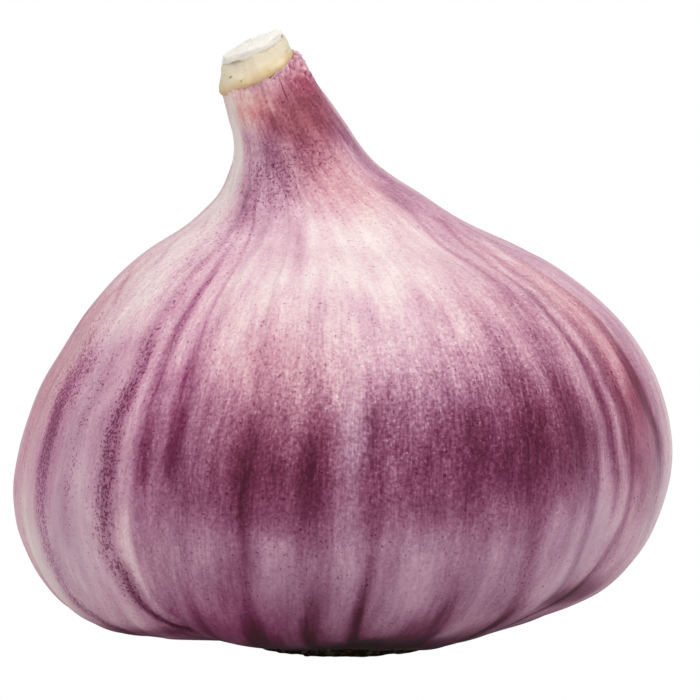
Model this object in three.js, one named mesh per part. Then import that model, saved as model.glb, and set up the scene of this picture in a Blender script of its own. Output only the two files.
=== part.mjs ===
// A whole garlic bulb, as picked and trimmed: purple papery skin drawn over the cloves and up the neck,
// the cut flower stalk with its collar of inner leaf sheath, and the corky root plate it stands on.
// Millimetres, +Z up. The origin is on the surface the bulb stands on; -Y is its front, and the neck
// leans towards -X and a little forward.
import * as THREE from 'three';

// Driving dimensions
const bulbWidth = 65; // across the widest cloves
const depthPerWidth = 0.96; // the bulb is a little shallower than it is wide
const grooveDepth = 0.9; // between two cloves, where it is deepest
const stalkRadius = 3.25; // at the cut
const stalkAbove = 3.1; // from the neck's mouth to the cut
const coreRadius = 2.3; // of the stalk inside its collar
const collarRadius = 4.05; // where the collar rolls out over the neck's rim
const collarAbove = 2.1; // from the neck's mouth to the top of the collar
const socketDepth = 3.3; // how far the stalk is modelled down into the neck
const plateRadius = 9.1;
const plateHeight = 1.5;
const clearance = 0.3; // between neighbouring pieces
const backFlatness = 0.7; // below 1 the cloves' backs are flatter and the grooves between them narrower
const neckForward = 2.7; // how far the neck's rim lies in front of the bulb's middle
const neckNod = 11; // how far the rim nods forward, degrees

// How finely the skin is divided
const aroundSteps = 64;
const heightSteps = 34;
const slopeStep = 0.002; // radians or part of the height, between two points that show which way it faces

// The bulb seen from the front, from the root plate up to the torn rim of the neck, for a bulb 65 mm wide.
// Each row is one section of the skin, by its left and right ends.
const size = bulbWidth / 65;
const sections = [
  { left: [-9.7, 0.8], right: [9.7, 0.8] },
  { left: [-13.0, 1.7], right: [13.0, 1.1] },
  { left: [-19.2, 1.9], right: [17.6, 2.7] },
  { left: [-24.5, 2.7], right: [22.2, 4.4] },
  { left: [-28.2, 4.8], right: [26.6, 6.8] },
  { left: [-31.1, 8.8], right: [30.2, 10.6] },
  { left: [-32.6, 13.4], right: [32.2, 15.6] },
  { left: [-32.5, 18.4], right: [32.6, 19.9] },
  { left: [-30.8, 24.6], right: [31.6, 25.4] },
  { left: [-28.1, 29.4], right: [29.2, 30.3] },
  { left: [-25.0, 34.1], right: [25.3, 34.8] },
  { left: [-20.2, 38.9], right: [20.0, 38.6] },
  { left: [-15.3, 41.9], right: [13.5, 41.3] },
  { left: [-12.2, 44.7], right: [8.0, 44.8] },
  { left: [-10.8, 47.8], right: [3.4, 47.6] },
  { left: [-10.5, 50.6], right: [0.4, 51.6] },
  { left: [-11.1, 52.7], right: [-2.0, 55.2] },
  { left: [-11.6, 54.9], right: [-4.3, 59.1] },
];

// Where two cloves meet under the skin, in degrees round from the front towards +X, and how deep each
// groove is as a part of grooveDepth.
const grooves = [
  { at: -78, deep: 0.7 },
  { at: -33, deep: 1.0 },
  { at: 8, deep: 0.5 },
  { at: 52, deep: 0.8 },
  { at: 100, deep: 0.9 },
  { at: 145, deep: 0.8 },
  { at: 190, deep: 0.9 },
  { at: 235, deep: 0.8 },
];

// The stalk's own frame: its origin is in the neck's mouth, and its +Z runs out along the stalk.
const stalkLean = -12; // degrees, towards +X
const mouth = new THREE.Vector3(-8.25, -neckForward, 57.0).multiplyScalar(size);
const stalkTurn = new THREE.Euler(
  THREE.MathUtils.degToRad(neckNod), THREE.MathUtils.degToRad(stalkLean), 0, 'YXZ');
const socketRadius = 3.4;
const rimSlant = 0.31; // rise of the neck's rim towards +X, square to the stalk
const cutSlant = 0.16; // and that of the cut
const slantFrom = -2; // the slant of the rim comes in from here
const slantChange = [2.4, 3.0]; // and it turns into the slant of the cut between these two

const sideLine = (side) => new THREE.CatmullRomCurve3(
  sections.map(({ [side]: [x, z] }) => new THREE.Vector3(x, 0, z).multiplyScalar(size)),
  false, 'catmullrom');
const leftLine = sideLine('left');
const rightLine = sideLine('right');

// The section at a place up the bulb (0 at the plate, 1 at the rim): its middle and its half-axes across
// and in depth
function sectionAt(up) {
  const left = leftLine.getPoint(up);
  const right = rightLine.getPoint(up);
  const across = right.clone().sub(left).multiplyScalar(0.5);
  const middle = left.add(right).multiplyScalar(0.5);
  const bow = THREE.MathUtils.smoothstep(up, 0.55, 1);
  middle.y -= neckForward * size * bow;
  const nod = THREE.MathUtils.degToRad(neckNod * bow);
  const back = new THREE.Vector3(0, 1, 0);
  const rise = across.clone().normalize().cross(back);
  const shallow = THREE.MathUtils.lerp(depthPerWidth, 1, THREE.MathUtils.smoothstep(up, 0.6, 0.85));
  const inDepth = back.multiplyScalar(Math.cos(nod)).addScaledVector(rise, Math.sin(nod));
  inDepth.multiplyScalar(across.length() * shallow);
  return { middle, across, inDepth };
}

// A point of the skin before its grooves are pressed in; turn is measured from the front towards +X
function smoothPoint(turn, up) {
  const { middle, across, inDepth } = sectionAt(up);
  return middle.addScaledVector(across, Math.sin(turn)).addScaledVector(inDepth, -Math.cos(turn));
}

// How far the skin sinks between the cloves: a crease at each groove, and round backs in between
function sinkAt(turn, up) {
  const fullTurn = 2 * Math.PI;
  const fade = THREE.MathUtils.smoothstep(up, 0, 0.12) * (1 - THREE.MathUtils.smoothstep(up, 0.3, 0.8));
  for (let i = 0; i < grooves.length; i += 1) {
    const here = THREE.MathUtils.degToRad(grooves[i].at);
    const next = THREE.MathUtils.degToRad(grooves[(i + 1) % grooves.length].at);
    const span = (next - here + fullTurn) % fullTurn;
    const part = ((turn - here + 2 * fullTurn) % fullTurn) / span;
    if (part < 1) {
      const deep = THREE.MathUtils.lerp(grooves[i].deep, grooves[(i + 1) % grooves.length].deep, part);
      return fade * deep * grooveDepth * size * (1 - Math.sin(Math.PI * part) ** backFlatness);
    }
  }
  return 0;
}

function skinPoint(turn, up) {
  const step = slopeStep;
  const point = smoothPoint(turn, up);
  const sideways = smoothPoint(turn + step, up).sub(smoothPoint(turn - step, up));
  const upwards = smoothPoint(turn, Math.min(up + step, 1)).sub(smoothPoint(turn, Math.max(up - step, 0)));
  return point.addScaledVector(sideways.cross(upwards).normalize(), -sinkAt(turn, up));
}

// A closed skin over a stack of rings, with a point in the middle of its first and last ring
function closedSkin(rings, firstPoint, lastPoint) {
  const count = rings[0].length;
  const points = [firstPoint, ...rings.flat(), lastPoint];
  const faces = [];
  for (let i = 0; i < count; i += 1) {
    const next = (i + 1) % count;
    faces.push(0, 1 + next, 1 + i);
    for (let ring = 0; ring < rings.length - 1; ring += 1) {
      const low = 1 + ring * count;
      const high = low + count;
      faces.push(low + i, low + next, high + next, low + i, high + next, high + i);
    }
    const last = 1 + (rings.length - 1) * count;
    faces.push(last + i, last + next, points.length - 1);
  }
  const geometry = new THREE.BufferGeometry().setFromPoints(points);
  geometry.setIndex(faces);
  geometry.computeVertexNormals();
  return geometry;
}

// The skin: a recess under it for the root plate, its outside up to the rim, and the socket for the stalk
function wrappedBulbGeometry() {
  const turns = Array.from({ length: aroundSteps }, (_, i) => (2 * Math.PI * i) / aroundSteps);
  const recessRadius = plateRadius + clearance;
  const recessTop = plateHeight + clearance;
  const recessRing = (z) => turns.map((turn) => new THREE.Vector3(
    recessRadius * Math.sin(turn), -recessRadius * Math.cos(turn), z));
  const outside = Array.from({ length: heightSteps + 1 }, (_, i) => (
    turns.map((turn) => skinPoint(turn, i / heightSteps))));

  const rim = sectionAt(1);
  const rimNormal = rim.across.clone().cross(rim.inDepth).normalize();
  const stalkDirection = new THREE.Vector3(0, 0, 1).applyEuler(stalkTurn);
  const socketPoint = (turn, z) => new THREE.Vector3(
    socketRadius * Math.sin(turn), -socketRadius * Math.cos(turn), z).applyEuler(stalkTurn).add(mouth);
  const socketTop = turns.map((turn) => {
    const start = socketPoint(turn, 0);
    const reach = rim.middle.clone().sub(start).dot(rimNormal) / stalkDirection.dot(rimNormal);
    return start.addScaledVector(stalkDirection, reach);
  });
  const socketFloor = turns.map((turn) => socketPoint(turn, -socketDepth));

  return closedSkin(
    [recessRing(recessTop), recessRing(sections[0].left[1] * size), ...outside, socketTop, socketFloor],
    new THREE.Vector3(0, 0, recessTop),
    new THREE.Vector3(0, 0, -socketDepth).applyEuler(stalkTurn).add(mouth),
  );
}

// A turned piece about +Z; its profile runs from the bottom up, as [radius, height]
function turned(profile, steps) {
  const geometry = new THREE.LatheGeometry(profile.map(([r, z]) => new THREE.Vector2(r, z)), steps);
  return geometry.rotateX(Math.PI / 2);
}

// Slants a piece of the stalk as the neck's rim slants, then as the cut does, and leaves its foot level
function slanted(geometry) {
  const { position } = geometry.attributes;
  for (let i = 0; i < position.count; i += 1) {
    const z = position.getZ(i);
    const slant = THREE.MathUtils.lerp(rimSlant, cutSlant, THREE.MathUtils.smoothstep(z, ...slantChange));
    position.setZ(i, z + slant * THREE.MathUtils.smoothstep(z, slantFrom, 0) * position.getX(i));
  }
  geometry.computeVertexNormals();
  return geometry;
}

function piece(name, geometry, color, roughness) {
  const mesh = new THREE.Mesh(geometry, new THREE.MeshStandardMaterial({ color, roughness, metalness: 0 }));
  mesh.name = name;
  return mesh;
}

const bulb = piece('wrapped_bulb', wrappedBulbGeometry(), 0xb07a98, 0.55);

const plate = piece('root_plate', turned([
  [0, 0],
  [7.4, 0],
  [8.5, 0.25],
  [plateRadius, 0.8],
  [plateRadius, plateHeight],
  [0, plateHeight],
], 40), 0x2a1a12, 0.9);

// The collar of leaf sheath rolls out over the skin's rim, follows its slant and draws in round the stalk,
// which fills it and swells over its top to a lip at the cut.
const socketEnd = clearance - socketDepth;
const collarInside = coreRadius + clearance;
const collarFoot = socketRadius - clearance;
const shoulder = collarAbove + clearance;
const stalk = piece('cut_stalk', slanted(turned([
  [0, socketEnd],
  [coreRadius, socketEnd],
  [coreRadius, shoulder],
  [stalkRadius - 0.1, shoulder],
  [stalkRadius, shoulder + 0.3],
  [stalkRadius - 0.1, stalkAbove],
  [0, stalkAbove],
], 36)), 0xf2efe8, 0.5);

const collar = piece('sheath_collar', slanted(turned([
  [collarInside, socketEnd],
  [collarFoot, socketEnd],
  [collarFoot, 0.2],
  [collarRadius, 0.5],
  [collarRadius - 0.2, 0.9],
  [collarRadius - 0.6, 1.6],
  [collarRadius - 1, collarAbove],
  [collarInside, collarAbove],
  [collarInside, socketEnd],
], 36)), 0xe0cda2, 0.5);

const neck = new THREE.Group();
neck.position.copy(mouth);
neck.rotation.copy(stalkTurn);
neck.add(stalk, collar);

const group = new THREE.Group();
group.add(bulb, plate, neck);

export default group;
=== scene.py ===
# A whole purple garlic bulb: papery skin, collar of leaf sheath, cut stalk and corky root plate
import math
import bpy
import bmesh
import numpy as np
from mathutils import Euler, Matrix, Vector


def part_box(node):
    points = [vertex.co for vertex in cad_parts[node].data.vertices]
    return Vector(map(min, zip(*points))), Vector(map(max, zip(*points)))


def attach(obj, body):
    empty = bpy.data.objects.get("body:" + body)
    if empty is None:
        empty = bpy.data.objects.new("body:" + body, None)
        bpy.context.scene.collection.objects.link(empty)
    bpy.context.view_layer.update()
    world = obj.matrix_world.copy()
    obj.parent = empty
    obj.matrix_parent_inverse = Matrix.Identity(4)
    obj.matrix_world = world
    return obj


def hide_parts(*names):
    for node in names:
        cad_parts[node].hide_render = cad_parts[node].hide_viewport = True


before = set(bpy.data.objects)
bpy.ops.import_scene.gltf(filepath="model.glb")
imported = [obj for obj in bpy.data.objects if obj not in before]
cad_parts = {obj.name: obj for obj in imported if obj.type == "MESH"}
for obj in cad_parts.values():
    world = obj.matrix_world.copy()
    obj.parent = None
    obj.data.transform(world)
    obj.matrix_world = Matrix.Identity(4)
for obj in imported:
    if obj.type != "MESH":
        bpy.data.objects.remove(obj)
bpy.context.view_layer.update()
skinLow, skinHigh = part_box("wrapped_bulb")
unit = (skinHigh.x - skinLow.x) / 65  # every length below is in mm, on a bulb 65 mm wide
print("frame loaded, one mm of the bulb is", round(unit, 6), "m")


# Places on the skin are given by turn, in degrees round from the front towards +X, and up, which is 0 at
# the root plate and 1 at the torn rim of the neck.

def smoothStep(low, high, value):
    part = np.clip((value - low) / (high - low), 0, 1)
    return part * part * (3 - 2 * part)


def splineAt(values, place):
    # a smooth line through the values: place 0 is the first of them and 1 the last
    values = np.asarray(values, float)
    line = np.concatenate([[2 * values[0] - values[1]], values, [2 * values[-1] - values[-2]]])
    spot = np.clip(place, 0, 1) * (len(values) - 1)
    low = np.minimum(np.floor(spot).astype(int), len(values) - 2)
    part = spot - low
    a, b, c, d = line[low], line[low + 1], line[low + 2], line[low + 3]
    return 0.5 * (2 * b + (c - a) * part + (2 * a - 5 * b + 4 * c - d) * part ** 2
                  + (3 * b - a - 3 * c + d) * part ** 3)


def turnBetween(turn, other):
    # degrees from other to turn, from -180 to 180
    return (turn - other + 180) % 360 - 180


def humpAt(turn, middle, halfWidth):
    # 1 at the middle, and less on both sides of it
    return np.exp(-(turnBetween(turn, middle) / halfWidth) ** 2)


def softNoise(turn, along, cellsRound, cellsAlong, seed):
    # smooth noise from -1 to 1 that closes on itself round the piece; along runs from 0 to 1
    grid = np.random.default_rng(seed).uniform(-1, 1, (cellsRound, cellsAlong + 2))
    x = (turn / 360) % 1 * cellsRound
    y = np.clip(along, 0, 1) * cellsAlong
    xLow, yLow = np.floor(x).astype(int) % cellsRound, np.floor(y).astype(int)
    xPart, yPart = smoothStep(0, 1, x - np.floor(x)), smoothStep(0, 1, y - yLow)
    xNext = (xLow + 1) % cellsRound
    lower = grid[xLow, yLow] * (1 - xPart) + grid[xNext, yLow] * xPart
    upper = grid[xLow, yLow + 1] * (1 - xPart) + grid[xNext, yLow + 1] * xPart
    return lower * (1 - yPart) + upper * yPart


# Modelling by ribs: rings of points, joined one to the next

def tilt(lean, nod):
    # turns what stands upright so that it leans to the left and nods forward, in degrees
    return Euler((math.radians(nod), math.radians(-lean), 0)).to_matrix()


def startPiece(name):
    bpy.ops.object.select_all(action="DESELECT")
    bpy.ops.object.add(type="MESH", location=(0, 0, 0))
    piece = bpy.context.object
    piece.name = piece.data.name = name
    bpy.ops.object.mode_set(mode="EDIT")
    return piece


def addRib(around, middle, halfWidth, halfDepth, lean=0, nod=0):
    # a ring laid flat at its middle, then nodded forward and leaned to the left, in degrees
    centre = Vector(middle) * unit
    bpy.ops.mesh.select_all(action="DESELECT")
    bpy.ops.mesh.primitive_circle_add(vertices=around, radius=unit, location=centre)
    bpy.ops.transform.resize(value=(halfWidth, halfDepth, 1), center_override=centre)
    for axis, turn in (("X", -nod), ("Y", lean)):
        bpy.ops.transform.rotate(value=math.radians(turn), orient_axis=axis, orient_type="GLOBAL",
                                 center_override=centre)


def selectRibs(piece, around, ribs):
    bpy.ops.mesh.select_all(action="DESELECT")
    bm = bmesh.from_edit_mesh(piece.data)
    bm.verts.ensure_lookup_table()
    for rib in ribs:
        for vert in bm.verts[rib * around:(rib + 1) * around]:
            vert.select = True
    bm.select_flush(True)


def joinRibs(piece, around, alongValues, closed=False):
    # bridges each rib to the next, then the last to the first or a face over both ends, and keeps each
    # point's turn and its place along the piece
    ribCount = len(alongValues)
    for rib in range(ribCount - 1):
        selectRibs(piece, around, (rib, rib + 1))
        bpy.ops.mesh.bridge_edge_loops()
    if closed:
        selectRibs(piece, around, (0, ribCount - 1))
        bpy.ops.mesh.bridge_edge_loops()
    else:
        for rib in (0, ribCount - 1):
            selectRibs(piece, around, (rib,))
            bpy.ops.mesh.edge_face_add()
    bpy.ops.mesh.select_all(action="SELECT")
    bpy.ops.mesh.normals_make_consistent(inside=False)
    bpy.ops.object.mode_set(mode="OBJECT")
    turns = np.tile(2 * np.pi * np.arange(around) / around + np.pi, ribCount)  # a circle starts at the back
    place = np.column_stack([np.sin(turns), np.cos(turns), np.repeat(alongValues, around)])
    piece.data.attributes.new("place", "FLOAT_VECTOR", "POINT").data.foreach_set("vector", place.ravel())


def subdivide(piece, levels):
    bpy.context.view_layer.objects.active = piece
    modifier = piece.modifiers.new("Subdivision", "SUBSURF")
    modifier.levels = modifier.render_levels = levels
    bpy.ops.object.modifier_apply(modifier=modifier.name)


def readVectors(source, field, count):
    values = np.empty(count * 3)
    source.foreach_get(field, values)
    return values.reshape(-1, 3)


def readPlace(piece):
    place = readVectors(piece.data.attributes["place"].data, "vector", len(piece.data.vertices))
    return np.degrees(np.arctan2(place[:, 0], place[:, 1])), place[:, 2]


def pushOut(piece, amount, direction=None):
    # moves the points along their normals or in one direction, by an amount in mm for each
    count = len(piece.data.vertices)
    points = readVectors(piece.data.vertices, "co", count)
    if direction is None:
        direction = readVectors(piece.data.vertex_normals, "vector", count)
    points += direction * np.asarray(amount)[:, None] * unit
    piece.data.vertices.foreach_set("co", points.ravel())
    piece.data.update()


def keepValues(piece, name, values):
    kind, field = ("FLOAT", "value") if values.ndim == 1 else ("FLOAT_VECTOR", "vector")
    piece.data.attributes.new(name, kind, "POINT").data.foreach_set(field, values.astype(np.float32).ravel())


def finishPiece(piece, material, node):
    bpy.ops.object.select_all(action="DESELECT")
    piece.select_set(True)
    bpy.context.view_layer.objects.active = piece
    bpy.ops.object.shade_smooth()
    piece.data.materials.append(material)
    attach(piece, "root")
    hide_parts(node)


# Materials

def linear(hexColour):
    parts = [int(hexColour[i:i + 2], 16) / 255 for i in (1, 3, 5)]
    return [part / 12.92 if part <= 0.04045 else ((part + 0.055) / 1.055) ** 2.4 for part in parts] + [1]


def newMaterial(name):
    material = bpy.data.materials.new(name)
    material.use_nodes = True
    material.node_tree.nodes.clear()
    return material


def addNode(material, kind, inputs=None, ramp=None, **settings):
    # one node with its settings, its inputs given as values or as another node's output, and any ramp
    node = material.node_tree.nodes.new(kind)
    for name, value in settings.items():
        setattr(node, name, value)
    for name, value in (inputs or {}).items():
        if isinstance(value, bpy.types.NodeSocket):
            material.node_tree.links.new(value, node.inputs[name])
        else:
            node.inputs[name].default_value = value
    if ramp:
        stops = node.color_ramp.elements
        while len(stops) < len(ramp):
            stops.new(0.5)
        for stop, (position, colour) in zip(stops, ramp):
            stop.position, stop.color = position, linear(colour)
    return node


def addMath(material, operation, *values, **settings):
    inputs = dict(enumerate(values))
    return addNode(material, "ShaderNodeMath", inputs, operation=operation, **settings).outputs[0]


def addNoise(material, place, size, detail, roughness=0.5):
    # noise with grains of that size in mm
    return addNode(material, "ShaderNodeTexNoise", {
        "Vector": place, "Scale": 1 / (size * unit), "Detail": detail, "Roughness": roughness}).outputs["Fac"]


def addAttribute(material, name, output="Fac"):
    return addNode(material, "ShaderNodeAttribute", attribute_name=name).outputs[output]


def addRamp(material, value, ramp):
    return addNode(material, "ShaderNodeValToRGB", {0: value}, ramp=ramp).outputs[0]


def remap(material, value, low, high, toLow=0, toHigh=1):
    # what runs from low to high runs from toLow to toHigh instead
    return addNode(material, "ShaderNodeMapRange", {
        "Value": value, "From Min": low, "From Max": high, "To Min": toLow, "To Max": toHigh}).outputs[0]


def mixColours(material, share, first, second):
    return addNode(material, "ShaderNodeMix", {0: share, 6: first, 7: second}, data_type="RGBA").outputs[2]


def addSurface(material, height, bumpDepth, bumpStrength, inputs):
    # bump of that depth in mm
    bump = addNode(material, "ShaderNodeBump", {
        "Height": height, "Distance": bumpDepth * unit, "Strength": bumpStrength}).outputs[0]
    surface = addNode(material, "ShaderNodeBsdfPrincipled", {**inputs, "Normal": bump}).outputs[0]
    addNode(material, "ShaderNodeOutputMaterial", {"Surface": surface})
    return material


# The papery skin

skin = {
    "around": 128,  # points round a rib before it is subdivided
    "ribs": 36,
    "rimRibs": [0.972, 0.982, 0.991, 1],  # further up values, close together under the torn rim
    # the outline on both sides: x and z, from the root plate to the rim
    "left": [(-9.7, 0.8), (-13.0, 1.7), (-19.2, 1.9), (-24.5, 2.7), (-28.2, 4.8), (-31.1, 8.8),
             (-32.6, 13.4), (-32.5, 18.4), (-30.8, 24.6), (-28.1, 29.4), (-25.0, 34.1), (-20.2, 38.9),
             (-15.3, 41.9), (-12.2, 44.7), (-10.8, 47.8), (-10.5, 50.6), (-11.1, 52.7), (-11.6, 54.9)],
    "right": [(9.7, 0.8), (13.0, 1.1), (17.6, 2.7), (22.2, 4.4), (26.6, 6.8), (30.2, 10.6),
              (32.2, 15.6), (32.6, 19.9), (31.6, 25.4), (29.2, 30.3), (25.3, 34.8), (20.0, 38.6),
              (13.5, 41.3), (8.0, 44.8), (3.4, 47.6), (0.4, 51.6), (-2.0, 55.2), (-4.3, 59.1)],
    "depthPerWidth": 0.96,
    "neckForward": 2.7,
    "neckNod": 11,  # degrees
    # ribs down inside the neck: rise from the rim, share of its width, and up
    "mouth": [(0.12, 0.94, 1.01), (0.0, 0.86, 1.02), (-0.7, 0.8, 1.03), (-2.8, 0.78, 1.04)],
    # ribs over the root plate: height, share of the foot's width, and up
    "recess": [(1.75, 0.94, -0.03), (0.9, 0.955, -0.02)],
    # creases between the cloves: turn and depth
    "grooves": [(-78, 0.6), (-33, 0.9), (8, 0.45), (52, 0.75), (100, 0.8), (145, 0.7), (190, 0.8),
                (235, 0.7)],
    "hiddenStreaks": (92, 268, 7.5),  # turns from, to and apart, where the streaks are laid by chance
    "veins": 90,
    "fibreRadius": 27,  # where fibres have their true width round the bulb
    "neckFibreRadius": 9,
}


def skinRib(up):
    left, right = splineAt(skin["left"], up), splineAt(skin["right"], up)
    bow = smoothStep(0.55, 1, up)
    shallow = skin["depthPerWidth"] + (1 - skin["depthPerWidth"]) * smoothStep(0.6, 0.85, up)
    half, middle = (right - left) / 2, (right + left) / 2
    width = math.hypot(*half)
    lean = math.degrees(math.atan2(half[1], half[0]))
    middle = (middle[0], -skin["neckForward"] * bow, middle[1])
    return middle, width, width * shallow, lean, skin["neckNod"] * bow


def mouthAxis():
    return tilt(*skinRib(1)[3:]) @ Vector((0, 0, 1))


def makeSkinShape():
    piece = startPiece("paperySkin")
    along = []
    width, depth = skinRib(0)[1:3]
    for z, share, up in skin["recess"]:
        addRib(skin["around"], (0, 0, z), width * share, depth * share)
        along.append(up)
    for up in [*np.linspace(0, 0.96, skin["ribs"]), *skin["rimRibs"]]:
        addRib(skin["around"], *skinRib(up))
        along.append(up)
    middle, width, depth, lean, nod = skinRib(1)
    for rise, share, up in skin["mouth"]:
        addRib(skin["around"], Vector(middle) + mouthAxis() * rise, width * share, depth * share, lean, nod)
        along.append(up)
    joinRibs(piece, skin["around"], along)
    subdivide(piece, 2)
    return piece


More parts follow.
